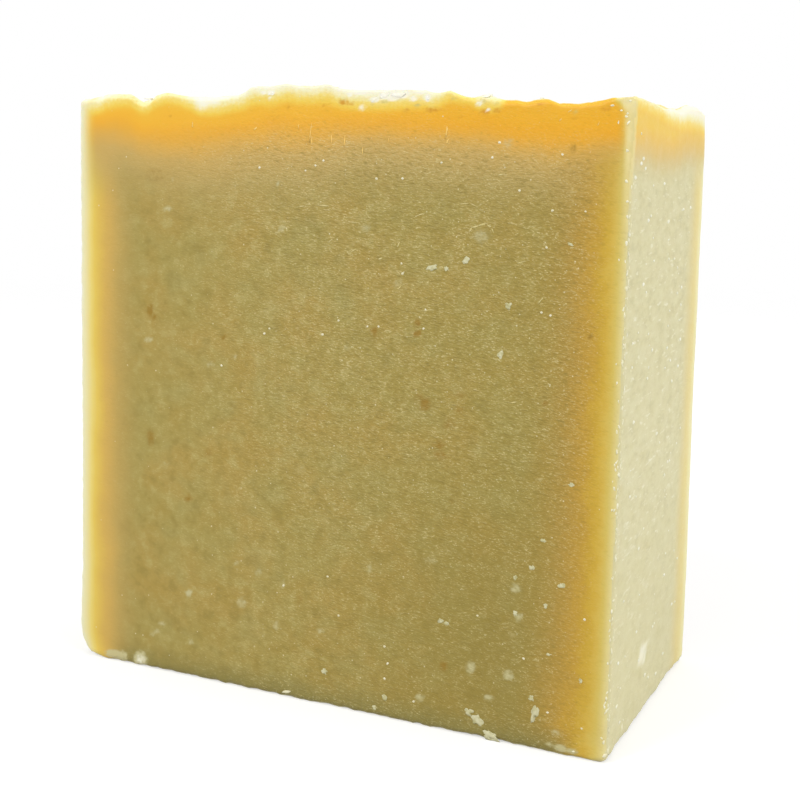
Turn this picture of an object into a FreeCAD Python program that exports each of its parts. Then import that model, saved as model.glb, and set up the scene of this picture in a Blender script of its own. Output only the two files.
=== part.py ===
import FreeCAD, Part

import math
import os

from FreeCAD import Vector

# A hand-cut bar of soap, standing on its narrow lower face. All sizes are in millimetres.
# +Z is up, +X runs along the broad face to its right-hand side, and -Y is the broad face that
# looks forward. The origin is in the middle of the face that the bar stands on.
# The two broad faces are where the bar was cut from its loaf. The two side faces and the face
# that it stands on took their form from the mould, and the top is the rough surface of the pour.

# Driving dimensions
bar_height = 60.0         # from the standing face to the mean level of the poured top
bar_width = 59.5          # side to side, measured at the standing face
bar_thickness = 29.8      # cut face to cut face, measured at the standing face
left_lean = 0.5           # how far the left side leans in by the mean level of the top
right_lean = 0.8          # the same for the right side
front_lean = 1.4          # the same for the front cut face; the back one is upright

# Edges worn and rounded by the mould, the knife and the hand
standing_left_round = 2.8     # lower left edge, which the pour did not fill to its corner
standing_right_round = 0.8    # lower right edge
front_cut_round = 0.6         # sides and foot of the front cut face
back_cut_round = 0.9          # sides and foot of the back cut face
shoulder_bevel = 0.4          # all round the poured top
nick_width = 1.1              # sliver shaved off the front right corner, across at its top
nick_length = 9.0             # and how far down from the mean level of the top it runs

# The poured top: swells above its mean level and hollows below it. Each has its place along the
# width and through the thickness, as shares of them from the middle, then its rise and its reach.
swells = [
    (-0.47, -0.42, -0.20, 2.6),
    (-0.355, -0.44, -0.50, 1.9),
    (-0.31, -0.38, 0.42, 2.4),
    (-0.22, -0.44, -0.25, 3.0),
    (-0.125, -0.36, 0.95, 2.9),
    (-0.05, -0.30, 0.75, 3.0),
    (0.03, -0.38, 0.30, 2.8),
    (0.12, -0.42, 0.60, 3.6),
    (0.20, -0.34, 0.30, 2.4),
    (0.29, -0.42, -0.45, 3.0),
    (0.38, -0.36, -0.85, 3.4),
    (0.48, -0.44, 0.15, 2.4),
    (0.47, -0.02, -0.70, 3.4),
    (0.46, 0.24, 0.15, 3.0),
    (0.47, 0.48, -0.35, 2.4),
    (0.25, 0.14, 0.45, 4.0),
    (0.14, 0.34, -0.55, 4.0),
    (0.03, 0.16, 0.55, 4.2),
    (-0.09, 0.38, 0.35, 3.6),
    (-0.17, 0.04, -0.50, 3.6),
    (-0.28, 0.22, 0.60, 3.8),
    (-0.36, -0.06, -0.45, 3.6),
    (-0.46, 0.16, 0.20, 3.6),
    (-0.42, 0.44, -0.45, 3.4),
    (0.33, 0.42, 0.30, 3.4),
]
relief_step = 2.6         # how far apart the surface of the top is worked out
relief_margin = 6.0       # how far that surface runs on past the bar before it is trimmed
headroom = 8.0            # how far the untrimmed block stands above the top's mean level


def top_level(x, y):
    """The height of the poured top above the standing face, at a place on it."""
    level = bar_height
    for along, through, rise, reach in swells:
        run = x - along * bar_width
        depth = y - through * bar_thickness
        level += rise * math.exp(-(run * run + depth * depth) / (2.0 * reach * reach))
    return level


def even_places(span):
    """Places spread evenly over a span about its middle, with the margin at each end."""
    reach = span / 2.0 + relief_margin
    count = math.ceil(2.0 * reach / relief_step)
    return [-reach + 2.0 * reach * index / count for index in range(count + 1)]


def above_the_pour():
    """What is trimmed away: all that stands above the rough surface of the top."""
    rows = [[Vector(x, y, top_level(x, y)) for y in even_places(bar_thickness)]
            for x in even_places(bar_width)]
    surface = Part.BSplineSurface()
    surface.interpolate(rows)
    return surface.toShape().extrude(Vector(0, 0, 2.0 * headroom))


def left_at(height):
    """Where the left side is at a height."""
    return -bar_width / 2.0 + left_lean * height / bar_height


def right_at(height):
    """Where the right side is at a height."""
    return bar_width / 2.0 - right_lean * height / bar_height


def front_at(height):
    """Where the front cut face is at a height."""
    return -bar_thickness / 2.0 + front_lean * height / bar_height


def leaning_block():
    """The block between the cut faces and the mould's faces, taller than the bar."""
    top = bar_height + headroom
    back = bar_thickness / 2.0
    block = Part.makeWedge(left_at(0.0), 0.0, -back, -back, left_at(top),
                           right_at(0.0), top, -front_at(0.0), -front_at(top), right_at(top))
    block.rotate(Vector(0, 0, 0), Vector(1, 0, 0), 90)
    return block


def standing_edges(block, x_side, y_side):
    """The edges of the standing face on one side: x_side or y_side is -1 or 1, the other is 0."""
    chosen = []
    for edge in block.Edges:
        middle = edge.BoundBox.Center
        across = middle.x * x_side * 4.0 >= bar_width * abs(x_side)
        through = middle.y * y_side * 4.0 >= bar_thickness * abs(y_side)
        if edge.BoundBox.ZMax < 1e-6 and across and through:
            chosen.append(edge)
    return chosen


def round_edges(block):
    """The moulded lower edges, then the edges that run on round each cut face."""
    block = block.makeFillet(standing_left_round, standing_edges(block, -1, 0)).Solids[0]
    block = block.makeFillet(standing_right_round, standing_edges(block, 1, 0)).Solids[0]
    block = block.makeFillet(front_cut_round, standing_edges(block, 0, -1)).Solids[0]
    return block.makeFillet(back_cut_round, standing_edges(block, 0, 1)).Solids[0]


def bevel_shoulder(bar):
    """The edge round the poured top, broken by handling."""
    low_part = bar_height - headroom
    shoulder = [edge for edge in bar.Edges if edge.BoundBox.ZMin > low_part]
    return bar.makeChamfer(shoulder_bevel, shoulder).Solids[0]


def corner_sliver():
    """The sliver shaved off the front right corner: widest at the top, running out below."""
    top = bar_height + headroom
    width = nick_width * (nick_length + headroom) / nick_length
    foot = bar_height - nick_length
    point = Vector(right_at(foot), front_at(foot), foot)
    on_front = Vector(right_at(top) - width, front_at(top), top)
    on_side = Vector(right_at(top), front_at(top) + width, top)
    outside = Vector(right_at(top) + width, front_at(top) - width, top)
    corners = [(on_front, on_side, outside), (point, on_side, on_front),
               (point, outside, on_side), (point, on_front, outside)]
    sides = [Part.Face(Part.makePolygon([*three, three[0]])) for three in corners]
    sliver = Part.makeSolid(Part.makeShell(sides))
    if sliver.Volume < 0:
        sliver.reverse()
    return sliver


def soap_bar():
    """The whole bar, in one piece."""
    bar = round_edges(leaning_block())
    bar = bevel_shoulder(bar.cut(above_the_pour()).Solids[0])
    return bar.cut(corner_sliver()).Solids[0]


os.makedirs("parts", exist_ok=True)
soap_bar().exportStep("parts/soap_bar.step")
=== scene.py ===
"""The looks of a hand-cut bar of soap: a green core, a golden rim and a rough, ash-white poured top."""

import logging
import math
from dataclasses import dataclass, field
from enum import Enum

import bmesh
import bpy
import numpy as np
from mathutils import Matrix, Vector, noise
from mathutils.bvhtree import BVHTree


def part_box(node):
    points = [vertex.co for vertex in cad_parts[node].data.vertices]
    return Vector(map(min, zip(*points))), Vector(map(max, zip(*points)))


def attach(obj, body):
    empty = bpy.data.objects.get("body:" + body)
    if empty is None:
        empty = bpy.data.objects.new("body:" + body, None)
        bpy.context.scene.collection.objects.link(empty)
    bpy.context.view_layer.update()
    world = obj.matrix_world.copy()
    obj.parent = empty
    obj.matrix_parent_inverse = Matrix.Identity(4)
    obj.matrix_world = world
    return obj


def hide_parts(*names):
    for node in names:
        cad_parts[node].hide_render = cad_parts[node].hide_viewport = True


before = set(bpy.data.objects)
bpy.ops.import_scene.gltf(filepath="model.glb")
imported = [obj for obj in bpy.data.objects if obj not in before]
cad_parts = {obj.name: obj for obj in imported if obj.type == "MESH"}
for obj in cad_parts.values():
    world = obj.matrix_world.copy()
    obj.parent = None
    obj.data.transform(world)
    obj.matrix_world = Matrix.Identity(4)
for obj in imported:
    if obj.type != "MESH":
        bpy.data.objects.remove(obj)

LOG = logging.getLogger("soap")
MM = 0.001
PHOTO_SIDE = 800
BAR_NODE = "soap_bar"
BODY = "root"
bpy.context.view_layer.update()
# The bar's own measures, in millimetres: its top's mean level, and how far two faces lean in by that level.
MEAN_TOP = 60.0
FRONT_LEAN = 1.4
RIGHT_LEAN = 0.8
# How far a ray is followed, in millimetres.
RAY = 1.0e3
DEGREE = math.radians(1)

Colour = tuple[int, int, int]
Pixel = tuple[float, float]
Stops = tuple[tuple[float, Colour], ...]
Spot = tuple[Vector, Vector]


def linear(colour: Colour) -> tuple[float, float, float, float]:
    """A screen colour as the linear light that Blender mixes.

    Args:
        colour: Red, green and blue from 0 to 255.

    Returns:
        Linear red, green and blue, and full alpha.
    """
    shares = [part / 255.0 for part in colour]
    red, green, blue = [s / 12.92 if s <= 0.04045 else ((s + 0.055) / 1.055) ** 2.4 for s in shares]
    return red, green, blue, 1.0


def ease(values: np.ndarray, start: float, end: float) -> np.ndarray:
    """A smooth rise from 0 at start to 1 at end, which may be the lower of the two."""
    share = np.clip((values - start) / (end - start), 0.0, 1.0)
    return share * share * (3.0 - 2.0 * share)


def rough(points: np.ndarray, size: float, layers: int = 1, stretch: tuple[float, float, float] = (1, 1, 1),
          shift: float = 0.0) -> np.ndarray:
    """Layered smooth noise, about -1 to 1, at points in millimetres.

    Args:
        points: One row for each point.
        size: How far apart the largest bumps are, in millimetres.
        layers: How many finer layers are added on each other.
        stretch: How much longer the bumps are along each axis.
        shift: Moves the pattern, so that two calls don't repeat each other.

    Returns:
        One value for each point.
    """
    scaled = points / (size * np.array(stretch)) + shift
    return np.array([noise.fractal(Vector(place), 0.9, 2.0, layers) for place in scaled])


@dataclass(frozen=True)
class Viewpoint:
    """Where the photograph was taken from and aimed at, in millimetres, and with what lens."""

    station: tuple[float, float, float] = (60.366, -128.331, 55.977)
    aim: tuple[float, float, float] = (1.389, 0.0, 28.957)
    roll: float = 1.0725 * DEGREE
    lens: float = 60.768
    sensor: float = 36.0

    def turn(self) -> Matrix:
        """The camera's right, up and backward directions, as the columns of a matrix.

        Returns:
            The matrix, which turns the camera's own directions into the scene's.
        """
        forward = (Vector(self.aim) - Vector(self.station)).normalized()
        right = forward.cross(Vector((0, 0, 1))).normalized()
        right = Matrix.Rotation(-self.roll, 3, forward) @ right
        up = right.cross(forward)
        return Matrix((right, up, -forward)).transposed()

    def sight(self, pixel: Pixel) -> Vector:
        """The direction in which a pixel of the photograph looks.

        Args:
            pixel: Its place across and down the photograph.

        Returns:
            The direction, of length 1.
        """
        reach = PHOTO_SIDE * self.lens / self.sensor
        across = pixel[0] + 0.5 - PHOTO_SIDE / 2.0
        down = pixel[1] + 0.5 - PHOTO_SIDE / 2.0
        return (self.turn() @ Vector((across, -down, -reach))).normalized()

    def place_camera(self) -> None:
        """Makes the camera and gives it to the scene."""
        data = bpy.data.cameras.new("viewpoint")
        data.lens = self.lens
        data.sensor_width = self.sensor
        data.clip_start = 0.01
        camera = bpy.data.objects.new("viewpoint", data)
        camera.matrix_world = Matrix.Translation(Vector(self.station) * MM) @ self.turn().to_4x4()
        bpy.context.scene.collection.objects.link(camera)
        bpy.context.scene.camera = camera


class Value:
    """A number that a material works out. Arithmetic on it adds Math nodes."""

    def __init__(self, kit: "NodeKit", socket: bpy.types.NodeSocket) -> None:
        self.kit = kit
        self.socket = socket

    def __add__(self, other: "Value | float") -> "Value":
        """The sum."""
        return self.kit.math("ADD", self, other)

    __radd__ = __add__

    def __sub__(self, other: "Value | float") -> "Value":
        """What is left after taking the other away."""
        return self.kit.math("SUBTRACT", self, other)

    def __rsub__(self, other: float) -> "Value":
        """What is left of a plain number after taking this away."""
        return self.kit.math("SUBTRACT", other, self)

    def __mul__(self, other: "Value | float") -> "Value":
        """The product."""
        return self.kit.math("MULTIPLY", self, other)

    __rmul__ = __mul__

    def __truediv__(self, other: "Value | float") -> "Value":
        """The share of the other."""
        return self.kit.math("DIVIDE", self, other)

    def __abs__(self) -> "Value":
        """The size without its sign."""
        return self.kit.math("ABSOLUTE", self)


Link = Value | bpy.types.NodeSocket
Setting = Link | float | tuple
Layer = bpy.types.NodeSocket | Colour


class NodeKit:
    """Adds the nodes of one material, or of the world."""

    def __init__(self, name: str, world: bool = False) -> None:
        """Makes the material or the world with an empty tree.

        Args:
            name: Its name.
            world: Whether it is a world and not a material.
        """
        self.material = (bpy.data.worlds if world else bpy.data.materials).new(name)
        self.material.use_nodes = True
        self.tree = self.material.node_tree
        self.tree.nodes.clear()

    def add(self, kind: str, settings: dict | None = None, inputs: dict | None = None) -> bpy.types.Node:
        """Adds one node.

        Args:
            kind: The node's type.
            settings: What is set first, such as an operation. A ramp's stops are pairs of place and colour.
            inputs: The value or link of each socket, by its name or number.

        Returns:
            The node.
        """
        node = self.tree.nodes.new(kind)
        for name, value in (settings or {}).items():
            if name == "stops":
                self.set_stops(node.color_ramp, value)
            else:
                setattr(node, name, value)
        for key, value in (inputs or {}).items():
            if isinstance(value, Value):
                self.tree.links.new(value.socket, node.inputs[key])
            elif isinstance(value, bpy.types.NodeSocket):
                self.tree.links.new(value, node.inputs[key])
            else:
                node.inputs[key].default_value = value
        return node

    @staticmethod
    def set_stops(ramp: bpy.types.ColorRamp, stops: list[tuple[float, tuple]]) -> None:
        """Gives a colour ramp its stops.

        Args:
            ramp: The ramp, which has two stops to begin with.
            stops: Each stop's place from 0 to 1 and its linear colour.
        """
        while len(ramp.elements) < len(stops):
            ramp.elements.new(1.0)
        for element, (place, colour) in zip(ramp.elements, stops):
            element.position = place
            element.color = colour

    def math(self, operation: str, first: Value | float, second: Value | float = 0.0) -> Value:
        """One Math node's result."""
        node = self.add("ShaderNodeMath", {"operation": operation}, {0: first, 1: second})
        return Value(self, node.outputs[0])

    def lower(self, first: Value | float, second: Value | float) -> Value:
        """The lower of two numbers."""
        return self.math("MINIMUM", first, second)

    def higher(self, first: Value | float, second: Value | float) -> Value:
        """The higher of two numbers."""
        return self.math("MAXIMUM", first, second)

    def rise(self, value: Value, start: float, end: float) -> Value:
        """A smooth rise from 0 at start to 1 at end."""
        node = self.add("ShaderNodeMapRange", {"interpolation_type": "SMOOTHSTEP"},
                        {0: value, 1: start, 2: end, 3: 0.0, 4: 1.0})
        return Value(self, node.outputs[0])

    def fall(self, value: Value, start: float, end: float) -> Value:
        """A smooth fall from 1 at start to 0 at end."""
        return 1.0 - self.rise(value, start, end)

    def mix(self, share: Value | float, under: Layer, over: Layer) -> bpy.types.NodeSocket:
        """One colour laid over another.

        Args:
            share: How much of the upper colour there is, from 0 to 1.
            under: The lower colour, as a link or a screen colour.
            over: The upper colour, the same.

        Returns:
            The blended colour's socket.
        """
        lower, upper = [linear(layer) if isinstance(layer, tuple) else layer for layer in (under, over)]
        settings = {"data_type": "RGBA", "clamp_factor": True}
        return self.add("ShaderNodeMix", settings, {0: share, 6: lower, 7: upper}).outputs[2]

    def ramp(self, place: Value, stops: Stops) -> bpy.types.NodeSocket:
        """A colour that changes with depth.

        Args:
            place: The depth in millimetres.
            stops: Depths and their screen colours, the deepest last.

        Returns:
            The colour's socket.
        """
        reach = stops[-1][0]
        shares = [(depth / reach, linear(colour)) for depth, colour in stops]
        return self.add("ShaderNodeValToRGB", {"stops": shares}, {0: place / reach}).outputs[0]

    def attribute(self, name: str) -> Value:
        """A number kept on the mesh."""
        node = self.add("ShaderNodeAttribute", {"attribute_name": name})
        return Value(self, node.outputs["Fac"])

    def millimetres(self) -> bpy.types.NodeSocket:
        """The place on the object, in millimetres.

        Returns:
            The place's socket.
        """
        place = self.add("ShaderNodeTexCoord").outputs["Object"]
        scaled = self.add("ShaderNodeVectorMath", {"operation": "SCALE"}, {0: place, "Scale": 1.0 / MM})
        return scaled.outputs[0]

    def squeeze(self, place: bpy.types.NodeSocket, tilt: float, sizes: tuple[float, float, float]
                ) -> bpy.types.NodeSocket:
        """A place turned about Y and divided by a size along each axis, for patterns with a grain.

        Args:
            place: The place's socket.
            tilt: The turn, in radians.
            sizes: How long the pattern is drawn along each axis.

        Returns:
            The new place's socket.
        """
        turned = self.add("ShaderNodeVectorRotate", {"rotation_type": "Y_AXIS"}, {"Vector": place, "Angle": tilt})
        divided = self.add("ShaderNodeVectorMath", {"operation": "DIVIDE"}, {0: turned.outputs[0], 1: sizes})
        return divided.outputs[0]

    def cloud(self, place: bpy.types.NodeSocket, scale: float, detail: float = 2.0,
              roughness: float = 0.5) -> Value:
        """Smooth noise from 0 to 1, with its middle near 0.5.

        Args:
            place: Where the noise is read.
            scale: How many of its largest bumps there are along a unit.
            detail: How many finer layers are added.
            roughness: How strong the finer layers are.

        Returns:
            The noise.
        """
        inputs = {"Vector": place, "Scale": scale, "Detail": detail, "Roughness": roughness}
        return Value(self, self.add("ShaderNodeTexNoise", {}, inputs).outputs[0])

    def dots(self, place: bpy.types.NodeSocket, scale: float, share: float, radius: float) -> Value:
        """Small round dots, one in some of the cells of a scattered pattern.

        Args:
            place: Where the pattern is read.
            scale: How many cells there are along a unit.
            share: The share of the cells that hold a dot.
            radius: The dots' radius, as a share of a cell.

        Returns:
            1 in a dot's middle and 0 outside it.
        """
        node = self.add("ShaderNodeTexVoronoi", {}, {"Vector": place, "Scale": scale})
        pick = self.add("ShaderNodeSeparateColor", {}, {0: node.outputs["Color"]})
        chosen = self.math("LESS_THAN", Value(self, pick.outputs[0]), share)
        return self.fall(Value(self, node.outputs["Distance"]), radius * 0.4, radius) * chosen

    def finish(self, colour: Setting, roughness: Setting, normal: bpy.types.NodeSocket | None,
               wax: "Wax") -> bpy.types.Material:
        """Adds the shader and the output.

        Args:
            colour: The base colour.
            roughness: The roughness.
            normal: The bumped normal.
            wax: How deep light goes into the soap.

        Returns:
            The finished material.
        """
        inputs = {"Base Color": colour, "Roughness": roughness, "IOR": wax.bend,
                  "Subsurface Weight": wax.glow, "Subsurface Radius": wax.spread,
                  "Subsurface Scale": wax.depth * MM, "Specular IOR Level": wax.shine}
        if normal is not None:
            inputs["Normal"] = normal
        shader = self.add("ShaderNodeBsdfPrincipled", {}, inputs)
        self.add("ShaderNodeOutputMaterial", {}, {"Surface": shader.outputs[0]})
        return self.material


@dataclass(frozen=True)
class Wax:
    """How light passes into soap: the same all over a surface."""

    glow: float = 0.15
    spread: tuple[float, float, float] = (1.0, 0.7, 0.35)
    depth: float = 0.35
    bend: float = 1.46
    shine: float = 0.28


@dataclass(frozen=True)
class Mark:
    """A stain or a pale cloud read off the photograph: its pixel, and its size in millimetres."""

    pixel: Pixel
    width: float
    height: float
    strength: float = 1.0


def marks(*rows: tuple[float, ...]) -> tuple[Mark, ...]:
    """Marks from rows of a pixel's place across and down, a width, a height and a strength that isn't 1."""
    return tuple(Mark(row[:2], *row[2:]) for row in rows)


# The stains, pale clouds, shades, creases and white places that the photograph shows.
BROWN_MARKS = marks(
    (150, 310, 0.8, 1.5, 0.8), (153, 318, 1.2, 0.6, 0.7), (374, 331, 0.8, 0.9, 0.7), (417, 322, 0.8, 0.9, 0.6),
    (417, 333, 0.9, 0.8, 0.8), (425, 403, 1.2, 1.3, 0.6), (418, 397, 1.2, 1.0, 0.4), (439, 444, 1.7, 1.2, 0.45),
    (440, 456, 2.0, 1.1, 0.4), (424, 404, 2.2, 2.0, 0.3), (460, 394, 1.4, 1.1, 0.3), (458, 409, 1.2, 1.2, 0.35),
    (449, 424, 2.0, 1.5, 0.33), (590, 335, 0.7, 0.8, 0.5), (545, 404, 0.8, 0.7, 0.5), (443, 666, 1.1, 1.0, 0.6),
    (223, 337, 0.8, 0.7, 0.6), (573, 147, 0.8, 1.2, 0.4), (188, 497, 1.3, 0.8, 0.6), (208, 451, 1.2, 1.2, 0.4),
    (150, 437, 1.2, 2.2, 0.45), (155, 175, 3.2, 2.2, 0.22), (300, 600, 1.2, 0.8, 0.4),
    (452, 500, 0.9, 0.8, 0.4), (309, 141, 1.2, 0.7, 0.35),
)
PALE_MARKS = marks(
    (114, 654, 2.6, 1.1, 1.0), (122, 656, 1.3, 1.5, 0.8), (140, 659, 1.8, 2.1, 1.0), (147, 665, 2.2, 0.9, 1.0),
    (156, 632, 0.8, 0.7, 0.5), (161, 624, 1.2, 0.6, 0.4), (190, 641, 1.0, 0.8, 0.4), (276, 625, 1.0, 0.9, 0.5),
    (259, 570, 0.9, 0.8, 0.4), (282, 583, 0.6, 0.7, 0.7), (152, 635, 0.9, 0.6, 0.35),
    (236, 563, 0.9, 0.7, 0.35), (188, 593, 1.0, 0.9, 0.7), (241, 602, 1.5, 1.3, 0.45),
    (148, 338, 1.4, 0.6, 0.55), (257, 573, 0.9, 0.8, 0.4), (369, 568, 0.8, 0.8, 0.5),
    (320, 630, 1.0, 0.8, 0.45), (419, 697, 1.2, 0.9, 0.6), (470, 667, 1.1, 1.5, 0.6),
    (508, 675, 1.2, 1.1, 0.65), (518, 617, 1.0, 0.9, 0.6), (515, 588, 1.2, 1.0, 0.6), (488, 697, 1.1, 0.8, 0.6),
    (555, 732, 1.1, 0.9, 0.5), (210, 365, 1.3, 1.0, 0.35), (397, 283, 1.2, 0.9, 0.35),
    (347, 346, 1.1, 0.8, 0.35), (281, 228, 0.9, 0.7, 0.6), (278, 184, 0.7, 0.5, 0.5), (234, 358, 0.7, 0.7, 0.4),
    (171, 178, 0.4, 0.9, 0.5), (167, 208, 1.3, 0.7, 0.5), (365, 228, 1.6, 1.2, 0.3), (480, 236, 2.2, 1.6, 0.35),
    (508, 143, 1.4, 0.8, 0.4), (300, 470, 1.6, 1.4, 0.25), (430, 560, 1.8, 1.4, 0.25),
    (165, 465, 1.8, 0.9, 0.25), (560, 748, 1.6, 0.8, 0.8), (571, 751, 1.3, 0.7, 0.7), (549, 744, 0.9, 0.6, 0.5),
    (641, 648, 1.0, 0.9), (640, 655, 1.0, 0.9), (639, 662, 1.0, 0.8), (643, 646, 1.0, 0.9),
    (642, 653, 1.0, 0.9), (641, 660, 1.0, 0.9), (645, 646, 1.0, 0.9), (644, 653, 1.0, 0.9),
    (643, 660, 1.0, 0.8),
)
SHADE_MARKS = marks(
    (398, 98, 1.2, 0.35, 0.6), (384, 101, 1.5, 0.35, 0.5), (417, 105, 1.0, 0.4, 0.5),
    (372, 103, 0.9, 0.35, 0.4), (482, 100, 1.2, 0.8, 0.4), (497, 102, 0.9, 0.5, 0.35),
    (343, 99, 1.0, 0.7, 0.35), (271, 94, 1.2, 0.35, 0.35), (575, 112, 0.7, 0.6, 0.35), (453, 98, 1.0, 0.5, 0.3),
    (639, 675, 1.0, 1.5, 0.3),
)
# Creases in the ash on the front top edge: deeper orange, partly the soap's own colour and partly painted shade in
# the creases.
CREASE_MARKS = marks(
    (343, 102, 1.3, 0.6, 0.55), (351, 103, 0.9, 0.5, 0.4), (406, 110, 0.8, 0.6, 0.5),
    (431, 109, 1.4, 0.6, 0.55), (438, 109, 0.8, 0.4, 0.4), (484, 111, 1.4, 0.6, 0.6), (496, 110, 1.2, 0.5, 0.5),
    (324, 105, 0.8, 0.4, 0.35), (287, 106, 0.5, 0.5, 0.5), (540, 103, 1.2, 0.5, 0.4), (460, 117, 1.0, 0.4, 0.3),
    (169, 116, 0.5, 0.5, 0.4), (606, 108, 1.4, 0.6, 0.35), (575, 118, 1.0, 0.5, 0.3),
)
WHITE_MARKS = marks(
    (263, 92, 0.9, 0.4, 0.7), (271, 92, 0.9, 0.5, 0.8), (269, 98, 0.35, 0.35, 0.6), (349, 94, 0.6, 0.5, 0.8),
    (360, 92, 1.8, 0.5, 0.7), (374, 99, 1.2, 0.6, 0.8), (384, 95, 1.2, 0.8, 0.9), (399, 94, 2.4, 0.8, 1.0),
    (413, 98, 1.0, 0.7, 0.6), (362, 107, 0.9, 0.7, 0.5), (427, 97, 0.8, 0.8, 0.9), (420, 92, 1.6, 0.4, 0.6),
    (487, 95, 1.6, 0.6, 0.8), (488, 109, 0.6, 0.4, 0.6), (479, 103, 1.0, 0.6, 0.5), (392, 97, 1.5, 0.7, 0.9),
    (202, 102, 2.2, 0.8, 0.6), (201, 106, 2.0, 1.2, 0.35), (214, 102, 1.6, 0.5, 0.4),
    (140, 659, 1.4, 1.6, 0.35),
)

# The front top edge: places along X and how far its crest is above the mean level, in millimetres.
FRONT_CREST = (
    (-29.5, -0.6), (-28.8, -0.5), (-26.0, 0.0), (-25.8, 0.12), (-22.8, 0.15), (-22.1, -0.15), (-21.4, -0.6),
    (-20.7, -0.6), (-19.9, -0.05), (-18.5, 0.3), (-17.0, 0.1), (-15.6, -0.07), (-12.0, -0.07), (-10.0, 0.14),
    (-9.4, 0.42), (-8.8, 0.8), (-8.0, 0.95), (-6.0, 1.0), (-4.8, 1.18), (-3.5, 0.95), (-1.5, 0.95),
    (-0.9, 1.08), (-0.3, 1.08), (1.0, 0.7), (2.0, 0.6), (9.6, 0.6), (10.8, 0.29), (12.0, 0.55), (13.2, 0.12),
    (14.3, -0.05), (15.5, 0.3), (16.6, -0.05), (17.2, -0.2), (18.3, -0.2), (19.0, -0.38), (20.0, -0.2),
    (21.0, -0.1), (22.2, -0.53), (23.9, -0.53), (26.0, -0.26), (27.0, 0.0), (28.9, 0.08),
)
# The right top edge: the same, by places along Y.
RIGHT_CREST = (
    (-13.4, 0.1), (-12.8, 0.11), (-10.0, 0.0), (-7.0, -0.12), (-4.4, -0.25), (-1.4, -0.55), (0.2, -0.66),
    (3.0, -0.4), (5.0, -0.05), (8.4, 0.06), (12.0, -0.12), (13.9, -0.5),
)
# How thick the pale ash is on the front face's top edge: a pixel's place across the photograph, and the
# thickness in millimetres. Below zero there is none, and the gold comes nearer to the edge.
FRONT_ASH = (
    (80, 0.6), (96, 0.6), (104, 0.45), (112, 0.25), (120, 0.1), (138, 0.1), (150, 0.1), (165, 0.0), (178, 0.0),
    (190, 0.3), (200, 0.75), (212, 0.75), (228, 0.5), (245, 0.4), (258, 0.5), (270, 0.6), (285, 0.42),
    (300, 0.4), (315, 0.4), (330, 0.45), (345, 0.5), (360, 0.6), (380, 0.6), (400, 0.5), (415, 0.4),
    (430, 0.45), (437, 0.15), (452, -0.2), (462, -0.4), (472, -0.4), (480, 0.2), (490, 0.4), (500, 0.0),
    (508, -1.2), (520, -1.6), (600, -1.5), (612, -0.9), (622, -0.4), (634, -0.3),
)
# The same for the right face: places along Y.
RIGHT_ASH = ((-13.5, 0.0), (-9.0, 0.15), (-4.0, 0.25), (1.0, 0.65), (6.0, 1.25), (14.0, 1.5))


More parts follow.
